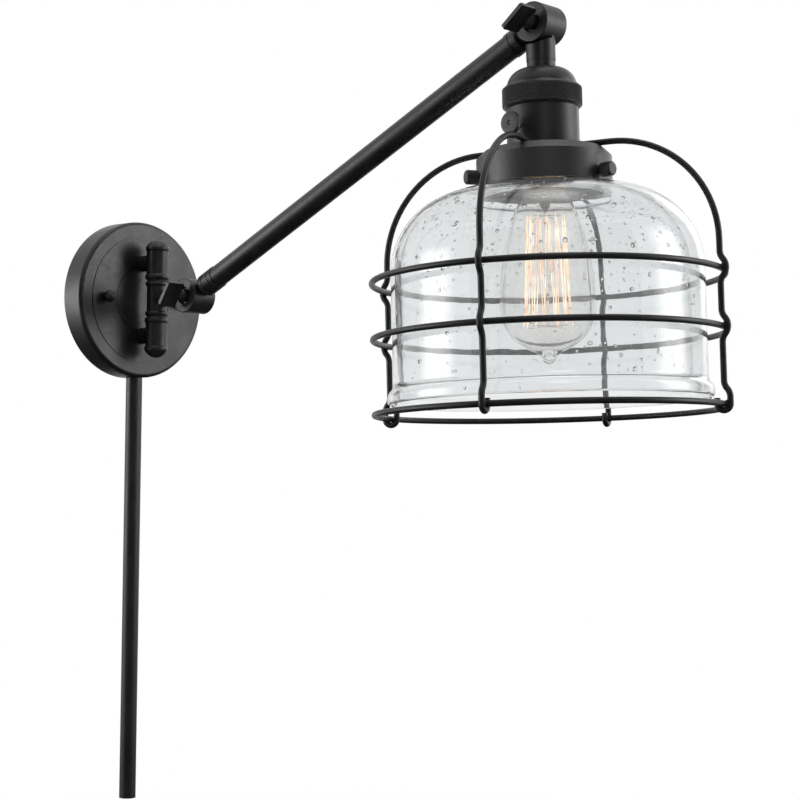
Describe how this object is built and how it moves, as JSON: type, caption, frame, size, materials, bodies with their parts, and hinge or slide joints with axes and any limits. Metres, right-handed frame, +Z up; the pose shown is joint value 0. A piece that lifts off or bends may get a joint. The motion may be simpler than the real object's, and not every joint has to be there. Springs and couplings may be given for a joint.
{
  "type": "wall light",
  "caption": "Swing-arm wall light with a seeded glass bell in a wire cage, a keyed socket on a tilting head, and a cord cover down the wall.",
  "frame": {"origin": "centre of the backplate's back face, in the plane of the wall", "axes": "+Y into the wall, -Y out into the room, +Z up, X along the wall"},
  "size_m": [0.225, 0.5333, 0.5539],
  "materials": {
    "black_plate": "satin black powder coat",
    "black_arm": "satin black powder coat",
    "black_screws": "satin black",
    "black_socket": "satin black",
    "black_cage": "satin black powder coat",
    "plated_steel": "zinc plated",
    "ground_brass": "plain",
    "washer_fibre": "matte fibre",
    "sleeve_plastic": "matte",
    "lead_rubber": "insulated wire",
    "seeded_glass": "clear, seeded with small bubbles",
    "bulb_clear": "clear"
  },
  "bodies": {
    "wall_base": {"backplate": "black_plate", "cross_bracket": "plated_steel", "canopy_studs": "plated_steel", "ball_nuts": "black_arm", "ground_screw": "ground_brass", "upper_post": "black_arm", "lower_post": "black_arm", "post_washers": "plated_steel", "post_nuts": "plated_steel", "upper_barrel_sleeve": "black_arm", "lower_barrel_sleeve": "black_arm", "end_caps": "black_arm", "hinge_pin": "plated_steel", "thrust_washers": "washer_fibre", "cord_cover": "black_arm", "cover_sleeve": "sleeve_plastic", "cover_clip": "plated_steel"},
    "swing": {"centre_sleeve": "black_arm", "swing_knuckle": "black_arm", "lower_friction_washer": "washer_fibre"},
    "lower_wing": {"lower_wing_screw": "black_screws"},
    "arm": {"arm_lower_knuckle": "black_arm", "arm_upper_knuckle": "black_arm", "lower_ferrule": "black_arm", "upper_ferrule": "black_arm", "arm_tube": "black_arm", "upper_friction_washer": "washer_fibre", "arm_leads": "lead_rubber"},
    "upper_wing": {"upper_wing_screw": "black_screws"},
    "head": {"head_knuckle": "black_arm", "neck_collar": "black_arm", "nipple": "plated_steel", "nipple_nut": "plated_steel", "socket_cap": "black_socket", "socket_ring": "black_socket", "socket_shell": "black_socket", "socket_liner": "washer_fibre", "socket_insulator": "sleeve_plastic", "screw_shell": "ground_brass", "centre_contact": "ground_brass", "shade_holder": "black_socket", "holder_nut": "black_socket", "glass_shade": "seeded_glass", "upper_cage_ring": "black_cage", "middle_cage_ring": "black_cage", "lower_cage_ring": "black_cage", "front_cage_wire": "black_cage", "left_cage_wire": "black_cage", "back_cage_wire": "black_cage", "right_cage_wire": "black_cage"},
    "key": {"switch_key": "black_screws"},
    "thumb_1": {"thumb_screw_1": "black_screws"},
    "thumb_2": {"thumb_screw_2": "black_screws"},
    "thumb_3": {"thumb_screw_3": "black_screws"},
    "bulb": {"bulb_contact": "ground_brass", "bulb_insulator": "sleeve_plastic", "bulb_base": "ground_brass", "bulb_glass": "bulb_clear", "filament_stem": "bulb_clear", "filament": "plated_steel"}
  },
  "joints": [
    {"name": "swing_turn", "type": "hinge", "parent": "wall_base", "child": "swing", "pos_m": [0, -0.0365, 0], "axis": [0, 0, 1], "range_deg": [-60, 60]},
    {"name": "lower_wing_turn", "type": "hinge", "parent": "swing", "child": "lower_wing", "pos_m": [0, -0.0782, 0], "axis": [1, 0, 0], "continuous": true},
    {"name": "arm_lift", "type": "hinge", "parent": "swing", "child": "arm", "pos_m": [0, -0.0782, 0], "axis": [-1, 0, 0], "range_deg": [-60, 50]},
    {"name": "upper_wing_turn", "type": "hinge", "parent": "arm", "child": "upper_wing", "pos_m": [0, -0.40674, 0.15671], "axis": [1, 0, 0], "continuous": true},
    {"name": "head_tilt", "type": "hinge", "parent": "arm", "child": "head", "pos_m": [0, -0.40674, 0.15671], "axis": [-1, 0, 0], "range_deg": [0, 95]},
    {"name": "switch_key_turn", "type": "hinge", "parent": "head", "child": "key", "pos_m": [0, -0.40994, 0.08878], "axis": [1, 0, 0], "continuous": true},
    {"name": "thumb_screw_1_turn", "type": "hinge", "parent": "head", "child": "thumb_1", "pos_m": [0, -0.41145, 0.05682], "axis": [0, -0.9989, 0.0471], "continuous": true},
    {"name": "thumb_screw_2_turn", "type": "hinge", "parent": "head", "child": "thumb_2", "pos_m": [0, -0.41145, 0.05682], "axis": [-0.866, 0.4994, -0.0236], "continuous": true},
    {"name": "thumb_screw_3_turn", "type": "hinge", "parent": "head", "child": "thumb_3", "pos_m": [0, -0.41145, 0.05682], "axis": [0.866, 0.4994, -0.0236], "continuous": true},
    {"name": "bulb_turn", "type": "hinge", "parent": "head", "child": "bulb", "pos_m": [0, -0.40674, 0.15671], "axis": [0, -0.0471, -0.9989], "continuous": true}
  ]
}
